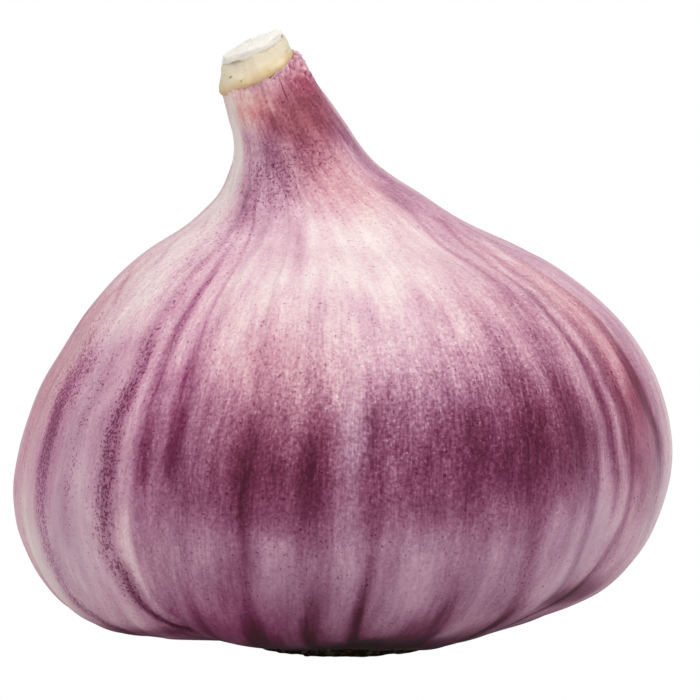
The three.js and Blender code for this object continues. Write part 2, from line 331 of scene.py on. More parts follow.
# Streaks that run up the skin. Each has a width in degrees, how much of it is dots, how far it stands out
# in mm (in, if below 0) and points of up, turn and strength; a strength below 0 is a pale streak. The dark
# streaks mostly sink as creases and the pale ones stand as ridges, so their colour is partly the skin's own
# stripes and partly painted shade in the creases and painted highlight on the ridges.
streaks = [
    # the left lobe
    (7, 0.1, 0, [(0.5, -86, 0), (0.56, -86, 0.12), (0.62, -86, 0.06), (0.68, -86, 0)]),
    (5.5, 0.9, -0.1, [(0.18, -50, 0.15), (0.2, -53, 0.34), (0.22, -56, 0.34), (0.25, -59.8, 0.26),
        (0.27, -61.3, 0.24), (0.3, -62.4, 0.22), (0.35, -62.6, 0.24), (0.4, -63, 0.24), (0.45, -64.3, 0.24),
        (0.5, -64.8, 0.19), (0.54, -65.3, 0.1), (0.57, -66, 0)]),
    (6, 0.8, 0, [(0.42, -60.5, 0), (0.46, -61, 0.13), (0.5, -61, 0.12), (0.54, -60, 0.08), (0.57, -58, 0)]),
    (2.6, 1, 0, [(0.33, -52.5, 0), (0.38, -53, 0.1), (0.45, -53, 0.13), (0.5, -53, 0.08), (0.54, -53, 0.06),
        (0.57, -53, 0)]),
    (4.6, 0.6, -0.2, [(0.25, -40, 0), (0.28, -41.3, 0.2), (0.31, -42.6, 0.22), (0.35, -44.1, 0.26),
        (0.38, -44.1, 0.3), (0.42, -44, 0.34), (0.5, -44.5, 0.32), (0.54, -44.5, 0.26), (0.58, -44.2, 0.12),
        (0.64, -44, 0.12), (0.68, -44.8, 0.08), (0.74, -46.5, 0.06), (0.8, -49, 0.04), (0.84, -50, 0)]),
    (2, 0.2, -0.3, [(0.19, -32, 0.3), (0.21, -35.3, 0.46), (0.23, -38, 0.46), (0.25, -39.4, 0.4),
        (0.27, -40.4, 0.3), (0.3, -41, 0.2), (0.34, -42.5, 0)]),
    (3, 0, 0.3, [(0.22, -32.5, 0), (0.25, -36, -0.1), (0.3, -37.8, -0.14), (0.35, -39, -0.17),
        (0.4, -39, -0.12), (0.43, -39.5, -0.05), (0.56, -40.5, -0.06), (0.6, -41, 0)]),
    (1.4, 0, -0.2, [(0.21, -31, 0), (0.25, -35, 0.14), (0.3, -37, 0.14), (0.36, -37.8, 0.12),
        (0.41, -37.8, 0)]),
    (3.6, 0.15, -0.3, [(0.38, -36.8, 0), (0.42, -36.2, 0.18), (0.45, -37.1, 0.2), (0.5, -38.3, 0.22),
        (0.55, -38.7, 0.16), (0.6, -37.7, 0.04), (0.63, -37.5, 0)]),
    (2.2, 0.2, -0.25, [(0.54, -38.2, 0), (0.57, -38, 0.2), (0.6, -37.4, 0.22), (0.64, -37.4, 0.22),
        (0.66, -38.6, 0.14), (0.7, -41, 0.1), (0.74, -43, 0.06), (0.8, -45, 0)]),
    (3.4, 0, 0.2, [(0.38, -33.5, 0), (0.45, -34, -0.06), (0.55, -35, -0.06), (0.62, -35, 0)]),
    (4.2, 0.1, -0.25, [(0.35, -28.5, 0), (0.38, -28.8, 0.06), (0.41, -29.4, 0.16), (0.43, -30.2, 0.22),
        (0.46, -30.9, 0.18), (0.5, -31.5, 0.18), (0.53, -31.8, 0.18), (0.56, -31.6, 0.1),
        (0.59, -31.5, 0)]),
    (1.6, 0, -0.2, [(0.55, -31.5, 0), (0.6, -31.5, 0.12), (0.65, -32.3, 0.15), (0.69, -33.6, 0.13),
        (0.73, -36, 0.14), (0.765, -38.8, 0.16), (0.79, -40, 0)]),
    (1.8, 0.3, -0.15, [(0.58, -49, 0), (0.61, -49, 0.09), (0.65, -49, 0.1), (0.67, -51, 0.08),
        (0.71, -56, 0)]),
    (3.6, 0.2, -0.2, [(0.595, -66, 0), (0.61, -70, 0.17), (0.625, -75, 0.2), (0.64, -80, 0.1),
        (0.65, -85, 0)]),
    (3.6, 0.2, -0.2, [(0.64, -61, 0), (0.655, -66, 0.15), (0.67, -71, 0.18), (0.685, -77, 0.1),
        (0.7, -83, 0)]),
    (4, 0.2, -0.15, [(0.695, -58, 0), (0.71, -65, 0.12), (0.73, -72, 0.12), (0.745, -80, 0)]),
    (2.6, 0.1, -0.1, [(0.18, -27, 0.2), (0.24, -28.5, 0.15), (0.3, -28.7, 0.06), (0.36, -28.7, 0.06),
        (0.39, -28.5, 0)]),
    # the front
    (4.6, 0.1, -0.1, [(0.14, -16, 0.3), (0.21, -16, 0.3), (0.235, -16, 0.26), (0.26, -16.3, 0.1),
        (0.29, -16.3, 0)]),
    (9, 0.1, 0, [(0.13, -15.7, 0.3), (0.18, -15.7, 0.3), (0.205, -15.7, 0.16), (0.225, -15.7, 0)]),
    (6.5, 0.1, -0.1, [(0.36, -16, 0), (0.39, -16, 0.12), (0.42, -15.5, 0.2), (0.45, -15.5, 0.13),
        (0.48, -16, 0.04), (0.52, -16, 0)]),
    (1.8, 0.1, -0.3, [(0.23, -16.3, 0), (0.28, -16.3, 0.12), (0.34, -16.2, 0.14), (0.37, -16.4, 0.2),
        (0.42, -16.6, 0.16), (0.46, -16.6, 0.08), (0.5, -16.8, 0)]),
    (5.5, 0, 0.2, [(0.22, -10.5, 0), (0.26, -10.5, -0.05), (0.31, -10.5, -0.1), (0.35, -10.5, -0.12),
        (0.365, -10.5, 0)]),
    (2.8, 0.1, -0.3, [(0.14, -4, 0.3), (0.18, -4.4, 0.34), (0.21, -5, 0.38), (0.245, -5.3, 0.36),
        (0.26, -5, 0.2), (0.3, -5.3, 0.1), (0.33, -5.5, 0)]),
    (1.4, 0.1, -0.1, [(0.2, -2.8, 0), (0.22, -3, 0.14), (0.25, -3.3, 0.15), (0.28, -3.5, 0.05),
        (0.3, -3.6, 0)]),
    (4.4, 0.1, -0.25, [(0.29, -6, 0), (0.32, -6, 0.08), (0.36, -5.5, 0.14), (0.4, -5.6, 0.22),
        (0.43, -5.4, 0.22), (0.46, -5.2, 0.16), (0.48, -5.2, 0.12), (0.52, -5.5, 0.08), (0.56, -6, 0.02),
        (0.6, -6.5, 0)]),
    (4.2, 0, 0.25, [(0.16, 1, 0), (0.18, 1, -0.15), (0.21, 1, -0.12), (0.27, 1, -0.12), (0.33, 1, -0.1),
        (0.37, 0.5, -0.12), (0.41, 0.5, -0.16), (0.46, 0.8, -0.2), (0.5, 0.6, -0.13), (0.55, 0.6, -0.08),
        (0.6, 1, 0)]),
    (2.3, 0.1, -0.35, [(0.14, 5.5, 0.3), (0.2, 5, 0.4), (0.24, 4.3, 0.4), (0.26, 4.5, 0.34),
        (0.28, 4.9, 0.3), (0.3, 5.3, 0.27), (0.34, 6, 0.16), (0.38, 5.8, 0.12), (0.43, 5.5, 0.08),
        (0.5, 4.5, 0.05), (0.54, 4, 0)]),
    (6.5, 0, 0.2, [(0.16, 10, 0), (0.18, 10.5, -0.14), (0.23, 12, -0.12), (0.28, 13.5, -0.12),
        (0.34, 14.5, -0.1), (0.37, 15, 0)]),
    (3.6, 0.1, -0.25, [(0.14, 24, 0.3), (0.18, 23, 0.32), (0.22, 22.3, 0.28), (0.25, 22, 0.2),
        (0.28, 21.3, 0.1), (0.31, 20.8, 0.06), (0.34, 21, 0.04), (0.37, 21, 0.1), (0.4, 20.8, 0.16),
        (0.43, 20.8, 0.13), (0.46, 21.5, 0.05), (0.5, 22, 0)]),
    (5, 0.1, 0, [(0.14, 20, 0.1), (0.18, 19, 0.14), (0.22, 18.8, 0.1), (0.25, 19, 0)]),
    (5.5, 0, 0.2, [(0.15, 28.5, 0), (0.17, 28.5, -0.14), (0.22, 28.5, -0.12), (0.28, 28, -0.1),
        (0.34, 27.5, -0.06), (0.37, 27, 0)]),
    (7, 0.1, -0.15, [(0.37, 33.5, 0), (0.4, 33.5, 0.15), (0.44, 33, 0.22), (0.48, 33, 0.22),
        (0.52, 32, 0.2), (0.55, 31.5, 0.12), (0.58, 31, 0.05), (0.62, 31, 0)]),
    (3, 0.1, -0.3, [(0.14, 40.5, 0.3), (0.2, 38.7, 0.32), (0.24, 36.9, 0.26), (0.28, 35.4, 0.16),
        (0.32, 34.6, 0.12), (0.37, 34.2, 0.06), (0.4, 34.2, 0)]),
    (5, 0.1, 0, [(0.14, 40, 0.2), (0.2, 38.8, 0.2), (0.23, 38, 0.12), (0.26, 37, 0)]),
    (5, 0, 0.2, [(0.19, 46.5, 0), (0.21, 46, -0.08), (0.26, 42.2, -0.12), (0.31, 40.3, -0.1),
        (0.36, 39.5, -0.08), (0.39, 39.5, 0)]),
    (3, 0, 0.1, [(0.42, 38, 0), (0.46, 38, -0.06), (0.51, 37.5, -0.1), (0.55, 37, -0.1), (0.58, 37, 0)]),
    (5, 0.1, -0.2, [(0.39, 44, 0), (0.42, 43.5, 0.1), (0.46, 43.5, 0.16), (0.5, 42.7, 0.16),
        (0.54, 42.2, 0.12), (0.58, 41.8, 0.08), (0.64, 41.5, 0.06), (0.68, 40, 0)]),
    (2.4, 0.1, -0.3, [(0.16, 48.5, 0.3), (0.21, 49, 0.3), (0.26, 48.7, 0.2), (0.32, 47.8, 0.18),
        (0.38, 47.3, 0.16), (0.43, 48.3, 0.14), (0.46, 48.3, 0.08), (0.5, 47, 0)]),
    # the right lobe
    (4.5, 0, 0.35, [(0.24, 51, 0), (0.29, 51.5, -0.06), (0.33, 51.8, -0.1), (0.4, 51, -0.12),
        (0.46, 49.9, -0.1), (0.52, 48.3, -0.08), (0.58, 47.8, -0.05), (0.64, 47.5, -0.03),
        (0.68, 46.5, 0)]),
    (2.6, 0.1, -0.35, [(0.34, 54.3, 0), (0.37, 54.3, 0.1), (0.42, 54.2, 0.2), (0.47, 53.2, 0.28),
        (0.5, 52.3, 0.28), (0.53, 51.6, 0.27), (0.55, 50.9, 0.18), (0.6, 50.3, 0.12), (0.635, 50.2, 0.14),
        (0.655, 51, 0.16), (0.67, 53, 0.15), (0.69, 56, 0.14), (0.72, 62, 0.13), (0.745, 68, 0.11),
        (0.765, 74, 0)]),
    (2.4, 0, 0.3, [(0.3, 54, 0), (0.34, 56.2, -0.1), (0.4, 56.2, -0.12), (0.45, 55.4, -0.1),
        (0.5, 54.8, -0.06), (0.57, 53.2, -0.06), (0.62, 52.6, 0)]),
    (2, 0, -0.35, [(0.19, 58, 0.3), (0.25, 56.2, 0.35), (0.27, 56, 0.28), (0.29, 57, 0.24),
        (0.31, 57.8, 0.2), (0.34, 58.8, 0.18), (0.38, 59, 0.14), (0.42, 58.7, 0)]),
    (4.2, 0.1, -0.3, [(0.38, 59.3, 0), (0.42, 59.3, 0.22), (0.46, 58.7, 0.26), (0.5, 57.5, 0.26),
        (0.53, 56.9, 0.27), (0.55, 56.7, 0.18), (0.6, 56, 0.1), (0.645, 56, 0.1), (0.66, 58, 0.1),
        (0.68, 61.5, 0.12), (0.7, 65, 0.12), (0.73, 70, 0.1), (0.75, 76, 0)]),
    (4.4, 0, 0.3, [(0.42, 64, 0), (0.46, 63.5, -0.05), (0.5, 61.8, -0.03), (0.55, 61, -0.07),
        (0.62, 60.5, -0.05), (0.65, 60.5, 0)]),
    (2.6, 0, 0.25, [(0.61, 52.5, 0), (0.64, 52.6, -0.08), (0.66, 55, -0.1), (0.68, 59.5, -0.09),
        (0.695, 63, 0)]),
    (2.8, 0.1, -0.2, [(0.6, 45, 0), (0.64, 43.5, 0.08), (0.68, 43.5, 0.12), (0.71, 45.5, 0.12),
        (0.745, 50, 0.1), (0.775, 56, 0)]),
    (4.4, 0, 0.2, [(0.645, 59, 0), (0.66, 61.5, -0.07), (0.675, 66, -0.12), (0.69, 71, -0.13),
        (0.7, 74, -0.08), (0.71, 78, 0)]),
    (4.2, 0.1, -0.3, [(0.36, 71, 0), (0.4, 71, 0.14), (0.44, 70.2, 0.3), (0.47, 67.8, 0.38),
        (0.5, 66.4, 0.4), (0.53, 66, 0.36), (0.55, 66, 0.24), (0.58, 66.2, 0.12), (0.62, 66.2, 0.1),
        (0.65, 67.2, 0.12), (0.665, 70, 0.1), (0.68, 74, 0)]),
    # a tear in the rim
    (1.6, 0, -0.3, [(0.955, 18.5, 0), (0.965, 19, 0.3), (0.985, 20, 0.35), (0.995, 20.5, 0.2),
        (1.01, 21, 0)]),
]

# Soft patches: turn, up, half size in degrees and in up, and how much they add to each quality
patches = {
    "pigment": [
        # the front below the middle, darker partly as painted shade towards the bottom, and the dark band
        # across it
        (8, 0.27, 46, 0.13, 0.26), (8, 0.43, 44, 0.075, 0.34), (30, 0.47, 17, 0.075, 0.16),
        (-24, 0.42, 14, 0.07, 0.09), (46, 0.47, 9, 0.13, 0.1), (-32, 0.45, 6, 0.12, 0.07),
        (-32, 0.25, 9, 0.05, 0.04), (0, 0.27, 6, 0.06, 0.05), (-8, 0.42, 5, 0.05, 0.08),
        (9, 0.29, 8, 0.11, -0.08), (42, 0.24, 7, 0.05, -0.06), (48, 0.33, 6, 0.08, -0.06),
        (-36, 0.52, 4, 0.03, 0.06), (-32, 0.47, 4, 0.06, 0.06), (-24, 0.5, 4, 0.03, 0.07),
        (-14, 0.32, 6, 0.06, 0.05), (1, 0.42, 3, 0.02, 0.07), (9, 0.31, 5, 0.03, 0.07),
        (0, 0.275, 4, 0.02, 0.06), (68, 0.37, 5, 0.04, 0.06), (44, 0.38, 4, 0.03, 0.05),
        (-43, 0.22, 5, 0.03, -0.07), (76, 0.44, 7, 0.14, 0.06), (-32, 0.22, 8, 0.04, 0.05),
        (-16, 0.2, 14, 0.04, 0.04), (12, 0.16, 8, 0.03, 0.05), (38, 0.5, 7, 0.03, 0.04),
        (26, 0.39, 5, 0.03, -0.05), (10, 0.505, 8, 0.025, 0.06), (32, 0.37, 5, 0.04, 0.08),
        (46, 0.45, 2.5, 0.05, 0.06), (46, 0.6, 3, 0.08, 0.08), (-20, 0.3, 4, 0.05, 0.07),
        (44, 0.22, 4, 0.03, 0.08), (36, 0.56, 5, 0.03, 0.06),
        # the lobes on both sides; the pale patches at their outer edges, near -77 and 84, are partly the
        # skin's own colour and partly painted reflection at the grazing edge
        (-56, 0.4, 20, 0.18, 0.06), (62, 0.44, 14, 0.14, 0.16), (58, 0.235, 10, 0.035, 0.28),
        (-50, 0.34, 7, 0.12, -0.15), (-65, 0.3, 9, 0.1, -0.12), (-48, 0.195, 16, 0.02, 0.3),
        (-77, 0.33, 9, 0.12, -0.14), (-69, 0.32, 6, 0.12, -0.12), (72, 0.62, 10, 0.1, -0.04),
        (72, 0.34, 9, 0.07, -0.1), (84, 0.44, 10, 0.14, -0.19), (57, 0.37, 5, 0.07, -0.05),
        (58, 0.23, 8, 0.03, 0.15), (63.5, 0.48, 2.5, 0.03, 0.12), (66, 0.44, 6, 0.1, 0.06),
        (-79, 0.5, 5, 0.16, 0.06), (52, 0.57, 4, 0.05, 0.06), (76, 0.56, 5, 0.04, 0.07),
        (-62, 0.52, 11, 0.05, -0.05), (-23, 0.55, 7, 0.05, -0.04), (-14, 0.245, 12, 0.035, 0.05),
        (38, 0.61, 16, 0.07, 0.025),
        # the pale shoulders
        (8, 0.67, 36, 0.1, -0.17), (-60, 0.66, 14, 0.09, -0.12), (-78, 0.85, 22, 0.24, -0.2),
        (62, 0.66, 24, 0.1, 0.02), (-22, 0.61, 12, 0.05, -0.09), (-16, 0.75, 6, 0.06, 0.1),
        (20, 0.735, 20, 0.04, -0.06), (-42, 0.7, 8, 0.06, -0.04), (-8, 0.76, 6, 0.06, -0.08),
        (-35, 0.62, 8, 0.08, -0.05), (45, 0.745, 5, 0.02, 0.06), (65, 0.73, 4, 0.015, 0.1),
        (-12, 0.71, 3, 0.05, 0.09), (-26, 0.78, 8, 0.025, 0.1), (-28, 0.64, 4, 0.04, -0.06),
        (4, 0.82, 6, 0.02, 0.07), (40, 0.72, 6, 0.03, -0.07), (48, 0.71, 5, 0.03, 0.06),
        (-54, 0.59, 7, 0.04, -0.06), (54, 0.77, 8, 0.015, 0.06), (24, 0.54, 4, 0.02, 0.1),
        (2, 0.605, 6, 0.02, 0.1), (16, 0.72, 8, 0.03, -0.05), (36, 0.78, 6, 0.02, -0.05),
        (14, 0.59, 14, 0.03, 0.03), (-12, 0.62, 5, 0.02, 0.05), (-12, 0.69, 5, 0.04, 0.05),
        (-36, 0.74, 5, 0.02, 0.05), (68, 0.5, 5, 0.06, 0.05), (28, 0.76, 8, 0.03, -0.04),
        # the neck
        (-16, 0.93, 9, 0.035, 0.22), (12, 0.92, 14, 0.04, 0.21), (42, 0.94, 24, 0.045, 0.34),
        (70, 0.93, 14, 0.06, 0.16), (-20, 0.86, 12, 0.045, 0.28), (-14, 0.81, 8, 0.03, 0.16),
        (-46, 0.79, 11, 0.07, 0.12), (10, 0.865, 16, 0.035, 0.2), (40, 0.895, 24, 0.025, 0.16),
        (74, 0.84, 14, 0.05, 0.1), (-6, 0.92, 7, 0.03, 0.26), (-54, 0.86, 8, 0.04, 0.04),
        (34, 0.86, 12, 0.025, 0.12), (-22, 0.9, 8, 0.03, 0.1), (14, 0.965, 16, 0.018, 0.12),
        (54, 0.885, 10, 0.02, 0.08), (-80, 0.92, 12, 0.1, -0.08), (-54, 0.96, 18, 0.05, -0.1),
        (-15, 0.975, 12, 0.02, -0.1), (-18, 0.83, 8, 0.025, -0.06), (-45, 0.94, 9, 0.03, -0.14),
        (-35, 0.82, 6, 0.03, 0.08), (-44, 0.775, 6, 0.03, 0.12), (-47, 0.955, 8, 0.04, 0.12),
        (-14, 0.98, 10, 0.015, 0.12), (-64, 0.88, 6, 0.05, -0.14), (-74, 0.85, 8, 0.1, -0.08),
        (52, 0.984, 16, 0.005, -0.15), (58, 0.785, 13, 0.03, 0.12), (46, 0.965, 18, 0.012, -0.06),
        (38, 0.982, 12, 0.01, 0.1), (78, 0.93, 9, 0.07, 0.08), (-50, 0.985, 34, 0.018, -0.12),
        (-43, 0.61, 4, 0.04, -0.06), (66, 0.875, 5, 0.012, 0.1), (-28, 0.94, 5, 0.02, -0.05),
        (-40, 0.975, 12, 0.02, -0.04), (20, 0.86, 6, 0.015, -0.05), (28, 0.82, 6, 0.015, 0.06),
        (52, 0.86, 6, 0.02, 0.06),
        # the back: pale shoulders and a broken dark band
        (132, 0.67, 22, 0.09, -0.13), (178, 0.66, 18, 0.1, -0.16), (222, 0.68, 22, 0.09, -0.12),
        (155, 0.9, 30, 0.06, 0.12), (215, 0.92, 22, 0.06, 0.1), (136, 0.41, 18, 0.08, 0.12),
        (184, 0.43, 22, 0.08, 0.16), (236, 0.4, 16, 0.08, 0.12),
        # round the root plate: darker, partly the skin's own colour and partly painted shade under the bulb
        (0, 0.12, 80, 0.12, 0.25), (4, 0.1, 34, 0.07, 0.4), (-9, 0.17, 3.5, 0.04, -0.08),
        (30, 0.19, 6, 0.05, -0.12),
    ],
    "wine": [(24, 0.94, 62, 0.06, 0.95), (22, 0.82, 32, 0.08, 0.6), (62, 0.56, 7, 0.15, 0.4),
        (64, 0.46, 7, 0.14, 0.12), (40, 0.56, 22, 0.14, 0.15), (-76, 0.55, 9, 0.12, 0.4),
        (-12, 0.5, 16, 0.1, 0.3), (-45, 0.97, 36, 0.04, 0.8)],
    "vivid": [(68, 0.98, 34, 0.025, 0.2), (-38, 0.58, 14, 0.12, 0.14), (-22, 0.56, 12, 0.06, 0.08),
        (-63, 0.45, 6, 0.15, 0.25), (-40, 0.97, 20, 0.04, 0.1), (-80, 0.34, 14, 0.16, 0.3),
        (-22, 0.24, 12, 0.06, 0.12), (74, 0.36, 10, 0.1, -0.15), (66, 0.49, 5, 0.05, 0.08)],
    "dots": [(-30, 0.8, 22, 0.07, 0.4), (-12, 0.84, 14, 0.05, 0.3), (15, 0.86, 20, 0.03, 0.3),
        (-66, 0.53, 10, 0.07, 0.5), (-52, 0.68, 18, 0.06, 0.22)],
    "bulge": [(42, 0.11, 14, 0.06, 0.35), (60, 0.2, 12, 0.05, -0.4), (-52, 0.12, 16, 0.05, -0.25)],
    "greyVeil": [(12, 0.3, 40, 0.07, 0.8), (-56, 0.38, 11, 0.13, 0.8), (1, 0.44, 3, 0.08, 0.8),
        (48, 0.34, 8, 0.1, 0.9), (-66, 0.33, 8, 0.08, 0.3)],
    "grain": [(8, 0.5, 46, 0.16, 0.4), (8, 0.25, 44, 0.12, -0.12), (4, 0.47, 20, 0.05, 0.25),
        (32, 0.5, 12, 0.07, 0.25), (-62, 0.45, 20, 0.35, -0.25), (0, 0.85, 60, 0.1, 0.25),
        (62, 0.35, 16, 0.2, -0.15), (56, 0.6, 16, 0.1, 0.15), (8, 0.7, 34, 0.08, -0.15),
        (0, 0.6, 30, 0.05, -0.25), (-60, 0.66, 20, 0.1, 0.35), (-66, 0.5, 14, 0.08, 0.2)],
}


def sinkBetweenCloves(turn, up):
    # round backs over the cloves, and a crease where two of them meet
    grooves = skin["grooves"]
    sink = np.zeros(len(turn))
    for (here, deep), (there, nextDeep) in zip(grooves, grooves[1:] + grooves[:1]):
        part = ((turn - here) % 360) / ((there - here) % 360)
        crease = 1 - np.abs(np.sin(np.pi * part)) ** 0.7
        sink += np.where(part < 1, (deep + (nextDeep - deep) * part) * crease, 0)
    return sink * smoothStep(0, 0.12, up) * (1 - smoothStep(0.3, 0.8, up))


def alongStreak(turn, up, width, points):
    # how strongly a streak shows at each point of the skin
    ups, turns, strengths = np.array(points).T
    wobble = softNoise(turn, up, 24, 30, int(width * 100 + points[1][1])) * width * 0.12
    away = np.abs(turnBetween(turn, np.interp(up, ups, turns)) + wobble) / (width / 2)
    return np.exp(-away ** 3.2) * np.interp(up, ups, strengths)


def addPatches(turn, up, name):
    total = np.zeros(len(turn))
    for atTurn, atUp, halfTurn, halfUp, amount in patches[name]:
        x, y = turnBetween(turn, atTurn) / halfTurn, (up - atUp) / halfUp
        total += amount * np.exp(-np.hypot(x, y) ** 3)
    return total


def hiddenStreaks():
    # the sides and back are streaked like the front, by chance but the same each time
    chance = np.random.default_rng(12)
    made = []
    for turn in np.arange(*skin["hiddenStreaks"]):
        turn += chance.uniform(-3, 3)
        low, high = chance.uniform(0.2, 0.36), chance.uniform(0.52, 0.74)
        strength, drift = chance.uniform(0.1, 0.36), chance.uniform(-4, 4)
        points = [(low - 0.06, turn - drift, 0), (low, turn - drift / 2, strength * 0.6),
                  ((low + high) / 2, turn, strength), (high, turn + drift / 2, strength * 0.4),
                  (high + 0.1, turn + drift, 0)]
        made.append((chance.uniform(2, 6), chance.uniform(0, 0.6), chance.uniform(-0.35, -0.1), points))
    return made


def rimFolds(turn, up):
    # how crumpled the torn rim is, which is most on the right, and the folds that crumple it
    return humpAt(turn, 72, 38), softNoise(turn, up, 80, 170, 9) + 0.6 * softNoise(turn, up, 140, 320, 14)


def sculptSkin(piece):
    turn, up = readPlace(piece)
    outside = smoothStep(-0.01, 0.005, up) * (1 - smoothStep(1.0, 1.01, up))
    amount = addPatches(turn, up, "bulge") - sinkBetweenCloves(turn, up)
    for width, dotted, relief, points in streaks + hiddenStreaks():
        amount += relief * np.abs(alongStreak(turn, up, width, points))
    chance = np.random.default_rng(5)
    for _ in range(skin["veins"]):
        middle, drift = chance.uniform(-180, 180), chance.uniform(-2.5, 2.5)
        low, high = chance.uniform(0.02, 0.4), chance.uniform(0.6, 1.0)
        width, height = chance.uniform(0.8, 2.0), chance.uniform(0.03, 0.1)
        fade = smoothStep(low - 0.08, low + 0.08, up) * (1 - smoothStep(high - 0.1, high + 0.1, up))
        amount += height * humpAt(turn, middle + drift * np.sin(up * 5 + middle), width) * fade
    amount += 0.22 * softNoise(turn, up, 14, 9, 3) + 0.08 * softNoise(turn, up, 40, 26, 4)
    neckPart = smoothStep(0.68, 0.85, up)
    for count, height, seed in ((26, 0.12, 6), (52, 0.07, 7)):
        amount += neckPart * height * softNoise(turn, up, count, 5, seed)
    foot = 1 - smoothStep(0.04, 0.2, up)
    amount += foot * 0.25 * softNoise(turn, up, 40, 7, 8)
    crumpled, folds = rimFolds(turn, up)
    amount += smoothStep(0.945, 0.985, up) * (0.04 + 0.22 * crumpled) * folds
    pushOut(piece, amount * outside)
    # the rim is torn unevenly: lower in front, and higher on the left
    torn = 0.12 + 0.2 * softNoise(turn, up * 0, 34, 1, 10) + 0.12 * softNoise(turn, up * 0, 90, 1, 11)
    torn += 0.3 * humpAt(turn, -75, 50) - 0.24 * humpAt(turn, 26, 20) - 0.1 * crumpled
    rim = smoothStep(0.965, 0.995, up) * (1 - smoothStep(1.02, 1.03, up))
    pushOut(piece, torn * rim, np.array(mouthAxis()))
    # the hem round the root plate is frayed, and lifts in front
    frayed = 0.2 * softNoise(turn, up * 0, 44, 1, 13) + 0.25 * np.exp(-(turn / 38) ** 4)
    hem = 1 - smoothStep(0.0, 0.03, np.abs(up))
    pushOut(piece, frayed * hem, np.array((0.0, 0.0, 1.0)))


def colourSkin(piece):
    turn, up = readPlace(piece)
    pigment = 0.295 + addPatches(turn, up, "pigment")
    dots = 0.07 + 0.12 * softNoise(turn, up, 30, 14, 23) + addPatches(turn, up, "dots")
    streak = np.zeros(len(turn))
    # the streaks' colour is partly the skin's own stripes and partly painted shade in the creases and painted
    # highlight on the ridges that the streaks sculpt
    for width, dotted, relief, points in streaks + hiddenStreaks():
        strength = alongStreak(turn, up, width, points)
        pigment += np.minimum(strength, 0)
        streak += np.maximum(strength, 0) * (1 - 0.5 * dotted)
        dots += np.maximum(strength, 0) * 4 * dotted
    pigment += 0.04 * softNoise(turn, up, 60, 5, 21) + 0.03 * softNoise(turn, up, 120, 9, 22)
    crumpled, folds = rimFolds(turn, up)
    # the crumpled rim is paler on the folds that stand out and darker between them: painted highlight and
    # painted shade on the folds
    pigment -= 0.2 * crumpled * smoothStep(0.95, 0.98, up) * folds
    keepValues(piece, "pigment", pigment)
    keepValues(piece, "streak", streak)
    keepValues(piece, "dots", np.minimum(dots, 1))
    for name in ("wine", "greyVeil"):
        keepValues(piece, name, np.clip(addPatches(turn, up, name), 0, 1))
    keepValues(piece, "vivid", 1 + addPatches(turn, up, "vivid"))
    keepValues(piece, "grain", np.clip(0.35 + addPatches(turn, up, "grain"), 0, 1))
    keepValues(piece, "up", up)
    # long fibres follow the skin from the plate to the neck, so their noise is read from the growing
    # direction: round a fixed radius, and along the outline
    steps = np.linspace(0, 1, 200)
    outline = np.stack([splineAt(skin["right"], step) for step in steps])
    lengths = np.concatenate([[0], np.cumsum(np.hypot(*np.diff(outline, axis=0).T))])
    length = np.interp(up, steps, lengths)
    angle = np.radians(turn)
    for name, radius in (("grown", skin["fibreRadius"]), ("grownNeck", skin["neckFibreRadius"])):
        keepValues(piece, name, np.column_stack([radius * np.sin(angle), -radius * np.cos(angle), length]))


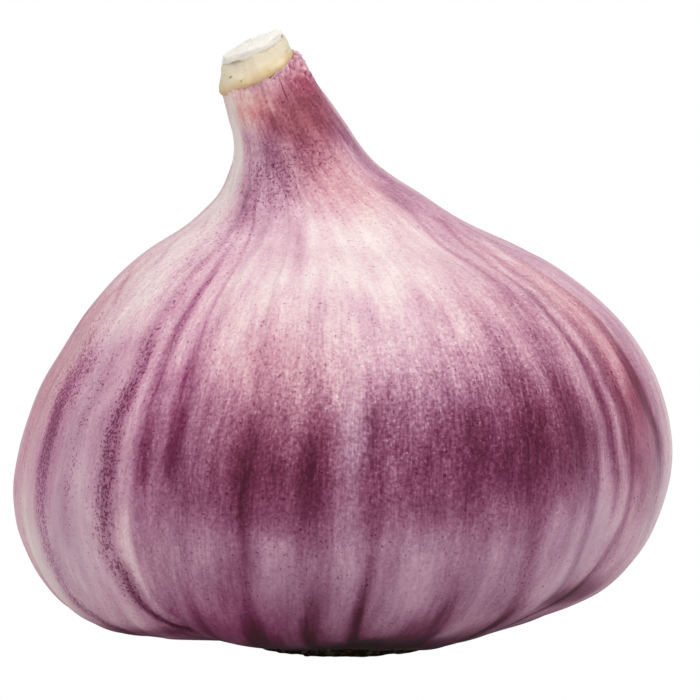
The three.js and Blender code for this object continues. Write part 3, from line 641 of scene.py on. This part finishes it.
def makeSkinMaterial():
    # Dry garlic leaf skin, two or three papery layers over the cloves: satin, finely ribbed along its
    # growth, purple where it is stippled with pigment and cream where it isn't
    m = newMaterial("garlicPaperSkin")
    place = addNode(m, "ShaderNodeTexCoord").outputs["Object"]
    kept = {name: addAttribute(m, name)
            for name in ("pigment", "streak", "dots", "wine", "greyVeil", "vivid", "grain", "up")}
    grownPlaces = [addAttribute(m, name, "Vector") for name in ("grown", "grownNeck")]
    # fibres 0.22 mm apart and 1.6 mm long, threads of 0.5 mm by 8 mm, strands of 1.1 mm by 12 mm and mottling
    # of 2.5 mm by 6 mm, each read twice: on the bulb and on the neck
    onNeck = remap(m, kept["up"], 0.62, 0.8)
    combed = []
    for across, along, detail in ((0.22, 1.6, 2), (0.5, 8, 2.5), (1.1, 12, 2.5), (2.5, 6, 4)):
        pair = []
        for source in grownPlaces:
            stretched = addNode(m, "ShaderNodeMapping", {
                "Vector": source, "Scale": (1 / across, 1 / across, 1 / along)}).outputs[0]
            pair.append(addNode(m, "ShaderNodeTexNoise", {
                "Vector": stretched, "Scale": 1, "Detail": detail, "Roughness": 0.62}).outputs["Fac"])
        combed.append(addNode(m, "ShaderNodeMix", {0: onNeck, 2: pair[0], 3: pair[1]}).outputs[0])
    fibre, thread, strand, mottle = combed
    # stipple and specks of pigment, drawn a little coarser than life
    stipple, speck = addNoise(m, place, 0.34, 2, 0.6), addNoise(m, place, 0.27, 1, 0.6)
    bareCells = addNode(m, "ShaderNodeTexVoronoi", {
        "Vector": place, "Scale": 1 / (0.62 * unit), "Randomness": 1}).outputs["Distance"]
    # the noises swing the tone about the painted pigment, stipple and fibre most where the grain is strong
    stippling = addMath(m, "MULTIPLY_ADD", kept["grain"], 0.6, 0.06)
    combing = addMath(m, "MULTIPLY_ADD", kept["grain"], 0.35, 0.08)
    tone = kept["pigment"]
    for noise, amount in ((stipple, stippling), (fibre, combing), (strand, 0.24), (mottle, 0.4)):
        tone = addMath(m, "MULTIPLY_ADD", addMath(m, "SUBTRACT", noise, 0.5), amount, tone)
    tone = addMath(m, "MULTIPLY_ADD", kept["streak"], remap(m, thread, 0.35, 0.65, 0.6, 1.2), tone)
    # specks of pigment, more of them where the dots are strong, and bare flecks between
    speckled = remap(m, addMath(m, "MULTIPLY_ADD", kept["dots"], 0.22, speck), 0.69, 0.74)
    tone = addMath(m, "MULTIPLY_ADD", speckled, 0.23, tone)
    fleck = addMath(m, "MULTIPLY", remap(m, bareCells, 0.22, 0.1), stippling)
    tone = addMath(m, "MULTIPLY_ADD", fleck, -0.25, tone, use_clamp=True)
    purple = addRamp(m, tone, [
        (0.0, "#f7e9e4"), (0.1, "#efd8d8"), (0.22, "#e2bdc9"), (0.35, "#ce9db1"), (0.5, "#ad7691"),
        (0.65, "#8e4b6c"), (0.8, "#6f264a"), (1.0, "#480024")])
    wine = addRamp(m, tone, [
        (0.0, "#f5e4dc"), (0.12, "#ecc9c2"), (0.32, "#dc9c9f"), (0.5, "#b86a78"), (0.7, "#8d3f50"),
        (1.0, "#5c1a2c")])
    colour = mixColours(m, kept["wine"], purple, wine)
    colour = addNode(m, "ShaderNodeHueSaturation", {"Saturation": kept["vivid"], "Color": colour}).outputs[0]
    # a grey-lilac veil greys the skin in clouds, least where it is dark
    veil = addMath(m, "MULTIPLY", kept["greyVeil"], mottle)
    veil = addMath(m, "MULTIPLY", veil, addMath(m, "SUBTRACT", 1, tone))
    colour = mixColours(m, veil, colour, linear("#b69db3"))
    # the ragged hem round the root plate is dry and brown, and painted paler than it is as painted light in
    # the shade under the bulb
    hem = remap(m, addMath(m, "MULTIPLY_ADD", fibre, 0.03, kept["up"]), 0.12, 0.05, 0, 0.8)
    colour = mixColours(m, hem, colour, linear("#b3937f"))
    relief = addMath(m, "MULTIPLY_ADD", stipple, 0.6, fibre)
    return addSurface(m, relief, 0.06, 0.6, {
        "Base Color": colour, "Roughness": 0.48, "Specular IOR Level": 0.25, "Sheen Weight": 0.06,
        "Sheen Roughness": 0.4})


papery = makeSkinShape()
print("skin modelled:", len(papery.data.polygons), "faces")
sculptSkin(papery)
colourSkin(papery)
finishPiece(papery, makeSkinMaterial(), "wrapped_bulb")
print("skin sculpted and coloured")


# The stalk and its collar stand in the neck's mouth, each rib slanted like the rim or the cut

neck = {
    "mouth": (-8.25, -2.7, 57.0),
    "lean": 12,  # of the stalk, degrees to the left
    "nod": 11,
    "rimSlant": 0.27,  # rise of the rim towards +X, square to the stalk
    "cutSlant": 0.25,
    "cutNod": 7,
    "around": 48,
}


def addStalkRib(rise, radius):
    nearCut = smoothStep(1.9, 3, rise)
    slant = neck["rimSlant"] + (neck["cutSlant"] - neck["rimSlant"]) * nearCut
    slant *= smoothStep(-2, 0, rise)
    nod = neck["nod"] + (neck["cutNod"] - neck["nod"]) * nearCut
    middle = Vector(neck["mouth"]) + tilt(neck["lean"], neck["nod"]) @ Vector((0, 0, rise))
    lean = neck["lean"] + math.degrees(math.atan(slant))
    addRib(neck["around"], middle, radius * math.hypot(1, slant), radius, lean, nod)


# Each profile is a list of rise and radius, from the foot in the socket
collar = {
    "inside": [(2.4, 3.0), (1.3, 2.7), (-0.5, 2.6), (-3, 2.6)],
    "outside": [(-3, 3.05), (-1, 3.15), (-0.5, 3.35), (-0.25, 3.7), (-0.05, 3.98), (0.2, 4.08), (0.5, 4.03),
                (0.9, 3.86), (1.3, 3.66), (1.7, 3.48), (2.1, 3.32), (2.46, 3.14)],
}

stalk = {
    "side": [(-3, 2.25), (-1, 2.3), (0.6, 2.35), (0.95, 2.5), (1.25, 2.75), (1.5, 2.9), (1.8, 2.98),
             (2.15, 3.02), (2.4, 3.08), (2.65, 3.14), (2.85, 3.16), (3.0, 3.08), (3.12, 2.85)],
    "face": [(3.2, 2.45), (3.26, 1.9), (3.3, 1.2), (3.32, 0.6)],
}


def makeCollar():
    # a closed ring: down its inside, then up its outside to the inside's top
    piece = startPiece("sheathCollar")
    profile = collar["inside"] + collar["outside"]
    for rise, radius in profile:
        addStalkRib(rise, radius)
    joinRibs(piece, neck["around"], np.linspace(0, 1, len(profile)), closed=True)
    subdivide(piece, 2)
    turn, along = readPlace(piece)
    out = smoothStep(0.42, 0.55, along)
    lumps = 0.16 * softNoise(turn, along, 9, 4, 31) + 0.08 * softNoise(turn, along, 20, 8, 32)
    threads = 0.04 * softNoise(turn, along, 90, 3, 33)
    # it rolls out widest on the left, and on the right it stays inside the skin's rim
    roll = 0.1 * humpAt(turn, -80, 60) - 0.3 * humpAt(turn, 85, 45) * (1 - smoothStep(0.72, 0.86, along))
    pushOut(piece, out * (lumps + threads + roll))
    keepValues(piece, "rise", smoothStep(0.5, 0.95, along))
    return piece


def makeStalk():
    piece = startPiece("cutStalk")
    profile = stalk["side"] + stalk["face"]
    for rise, radius in profile:
        addStalkRib(rise, radius)
    joinRibs(piece, neck["around"], np.linspace(0, 1, len(profile)))
    subdivide(piece, 2)
    turn, along = readPlace(piece)
    side = smoothStep(0.2, 0.3, along)
    lumps = 0.15 * softNoise(turn, along, 8, 6, 41) + 0.09 * softNoise(turn, along, 18, 14, 42)
    frayed = 0.1 * np.exp(-((along - 0.66) / 0.05) ** 2) * softNoise(turn, along, 30, 2, 43)
    pushOut(piece, side * (lumps + frayed))
    ragged = 0.045 * softNoise(turn, along, 9, 2, 44) + 0.012 * np.cos(np.radians(turn + 90))
    keepValues(piece, "cutFace", smoothStep(0.49, 0.54, along + ragged))
    return piece


def makeSheathMaterial():
    # Inner leaf sheath cut across the neck: moist cream flesh, waxy and a little translucent, darker low
    # down and paler towards the top, with a few brown bruises
    m = newMaterial("moistLeafSheath")
    place = addNode(m, "ShaderNodeTexCoord").outputs["Object"]
    cloud, specks = addNoise(m, place, 1.6, 3), addNoise(m, place, 0.5, 2)
    cream = addRamp(m, addMath(m, "MULTIPLY_ADD", cloud, 0.6, addAttribute(m, "rise")), [
        (0.2, "#d0ac7e"), (0.5, "#e2c596"), (0.8, "#eedab2"), (1.0, "#f3e4c9")])
    colour = mixColours(m, remap(m, specks, 0.68, 0.78), cream, linear("#b08a5c"))
    return addSurface(m, specks, 0.08, 0.5, {
        "Base Color": colour, "Roughness": 0.4, "Subsurface Weight": 0.25,
        "Subsurface Radius": (1.0, 0.7, 0.4), "Subsurface Scale": unit})


def makeStalkMaterial():
    # Flower stalk cut across: white pith that has dried matt on the face, cream rind down the side
    m = newMaterial("cutStalkPith")
    place = addNode(m, "ShaderNodeTexCoord").outputs["Object"]
    cloud, pores = addNoise(m, place, 1.4, 3), addNoise(m, place, 0.3, 2)
    rind = addRamp(m, cloud, [(0.3, "#ecd6ab"), (0.5, "#f2e3c1"), (0.7, "#f6edd8")])
    pith = addRamp(m, pores, [(0.25, "#f2ebdf"), (0.5, "#faf4ea"), (0.75, "#fdfaf3")])
    colour = mixColours(m, addAttribute(m, "cutFace"), rind, pith)
    return addSurface(m, pores, 0.06, 0.5, {
        "Base Color": colour, "Roughness": 0.55, "Subsurface Weight": 0.2,
        "Subsurface Radius": (1.0, 0.8, 0.6), "Subsurface Scale": unit})


finishPiece(makeCollar(), makeSheathMaterial(), "sheath_collar")
finishPiece(makeStalk(), makeStalkMaterial(), "cut_stalk")
print("collar and stalk modelled")


# The root plate under the bulb, and the ends of the trimmed roots

plate = {
    "around": 64,
    # height and radius, from the underside up
    "profile": [(0.35, 6.0), (0.2, 7.4), (0.16, 8.3), (0.2, 8.8), (0.45, 9.05), (0.8, 9.1), (1.2, 9.05),
                (1.5, 8.7)],
    "roots": 64,
    "rootReach": 8.0,  # how far from the middle they grow
    "rootRadius": 0.5,
    "rootSides": 8,
    "rootBevel": 0.12,
    "rootFoot": 0.15,  # height of their cut ends
}


def makePlate():
    piece = startPiece("rootPlate")
    for height, radius in plate["profile"]:
        addRib(plate["around"], (0, 0, height), radius, radius)
    joinRibs(piece, plate["around"], np.linspace(0, 1, len(plate["profile"])))
    subdivide(piece, 2)
    turn, along = readPlace(piece)
    crumbs = 0.06 * softNoise(turn, along, 34, 6, 51) + 0.04 * softNoise(turn, along, 80, 12, 52)
    pushOut(piece, crumbs - 0.04)
    return piece


def makeRoots():
    # one trimmed root end, copied all over the plate at different lengths and slants
    bpy.ops.object.select_all(action="DESELECT")
    bpy.ops.mesh.primitive_cylinder_add(vertices=plate["rootSides"], radius=plate["rootRadius"] * unit,
                                        depth=unit, location=(0, 0, 0))
    bpy.ops.object.mode_set(mode="EDIT")
    bpy.ops.mesh.select_all(action="SELECT")
    bpy.ops.mesh.bevel(offset=plate["rootBevel"] * unit, segments=2)
    bpy.ops.object.mode_set(mode="OBJECT")
    first = bpy.context.object
    first.name = first.data.name = "rootEnds"
    chance = np.random.default_rng(61)
    for count in range(plate["roots"]):
        root = first
        if count:
            root = first.copy()
            root.data = first.data.copy()
            bpy.context.collection.objects.link(root)
        reach = plate["rootReach"] * math.sqrt((count + 0.5) / plate["roots"])
        angle = count * math.radians(137.5)  # spreads them evenly over the disc
        length, thick = chance.uniform(0.75, 1.15), chance.uniform(0.7, 1.2)
        height = plate["rootFoot"] + length / 2
        root.location = Vector((reach * math.cos(angle), reach * math.sin(angle), height)) * unit
        root.scale = (thick, thick, length)
        root.rotation_euler = (*chance.uniform(-0.2, 0.2, 2), 0)
        root.select_set(True)
    bpy.context.view_layer.objects.active = first
    bpy.ops.object.transform_apply(location=True, rotation=True, scale=True)
    bpy.ops.object.join()
    return first


def makeCorkMaterial():
    # Dried root plate: dark brown cork, matt and crumbly, paler on its crumbs
    m = newMaterial("driedRootCork")
    crumbs = addNoise(m, addNode(m, "ShaderNodeTexCoord").outputs["Object"], 0.7, 5, 0.65)
    brown = addRamp(m, crumbs, [(0.3, "#1d140e"), (0.48, "#463529"), (0.6, "#80705f"), (0.8, "#b8aa98")])
    return addSurface(m, crumbs, 0.3, 0.8, {"Base Color": brown, "Roughness": 0.9})


cork = makeCorkMaterial()
finishPiece(makePlate(), cork, "root_plate")
finishPiece(makeRoots(), cork, "root_plate")
print("root plate modelled")


# Studio: a light table in an even white tent, with one broad soft key from above the front right

studio = {
    "cameraDistance": 450,
    "cameraLift": 4.5,  # degrees above level
    "frameWidth": 69.3,  # what the picture takes in at the bulb
    "aim": (0.7, 0, 29.6),
    "keyPlace": (120, -400, 1000),
    "keyAim": (0, 0, 28),
    "keyStrength": 1.8,
    "keySpread": 60,  # degrees; a wide one casts soft shadows
    "worldLight": 0.5,
    "tableRadius": 2.2,  # in metres
}


def addCamera():
    lift = math.radians(studio["cameraLift"])
    back = Vector((0, -math.cos(lift), math.sin(lift))) * studio["cameraDistance"]
    bpy.ops.object.camera_add(location=(Vector(studio["aim"]) + back) * unit,
                              rotation=(math.pi / 2 - lift, 0, 0))
    camera = bpy.context.object
    camera.data.lens = camera.data.sensor_width * studio["cameraDistance"] / studio["frameWidth"]
    camera.data.clip_start, camera.data.clip_end = 0.01, 50
    bpy.context.scene.camera = camera


def addKey():
    place = Vector(studio["keyPlace"])
    bpy.ops.object.light_add(type="SUN", location=place * unit)
    light = bpy.context.object
    light.name = "keySoftbox"
    light.rotation_euler = (Vector(studio["keyAim"]) - place).to_track_quat("-Z", "Y").to_euler()
    light.data.energy = studio["keyStrength"]
    light.data.angle = math.radians(studio["keySpread"])


def addFloor():
    bpy.ops.object.select_all(action="DESELECT")
    bpy.ops.mesh.primitive_circle_add(vertices=96, radius=studio["tableRadius"], fill_type="NGON",
                                      location=(0, 0, 0))
    floor = bpy.context.object
    floor.name = "studioFloor"
    # a light table: pure white to look at, while the bulb gets only what a pale grey table would give back
    m = newMaterial("opalLightTable")
    seen = addNode(m, "ShaderNodeLightPath").outputs["Is Camera Ray"]
    table = addNode(m, "ShaderNodeBsdfDiffuse", {"Color": linear("#e2e2e2")})
    glow = addNode(m, "ShaderNodeEmission", {"Color": (1, 1, 1, 1), "Strength": 1})
    surface = addNode(m, "ShaderNodeMixShader", {0: seen, 1: table.outputs[0], 2: glow.outputs[0]})
    addNode(m, "ShaderNodeOutputMaterial", {"Surface": surface.outputs[0]})
    floor.data.materials.append(m)


def addWorld():
    # white to look at, and a soft even light
    world = bpy.data.worlds.new("whiteTent")
    world.use_nodes = True
    world.node_tree.nodes.clear()
    seen = addNode(world, "ShaderNodeLightPath").outputs["Is Camera Ray"]
    light = addNode(world, "ShaderNodeBackground", {"Color": (1, 1, 1, 1), "Strength": studio["worldLight"]})
    look = addNode(world, "ShaderNodeBackground", {"Color": (1, 1, 1, 1), "Strength": 1})
    mixed = addNode(world, "ShaderNodeMixShader", {0: seen, 1: light.outputs[0], 2: look.outputs[0]})
    addNode(world, "ShaderNodeOutputWorld", {"Surface": mixed.outputs[0]})
    bpy.context.scene.world = world


addCamera()
addFloor()
addWorld()
addKey()
bpy.context.scene.view_settings.view_transform = "Standard"
print("studio set")
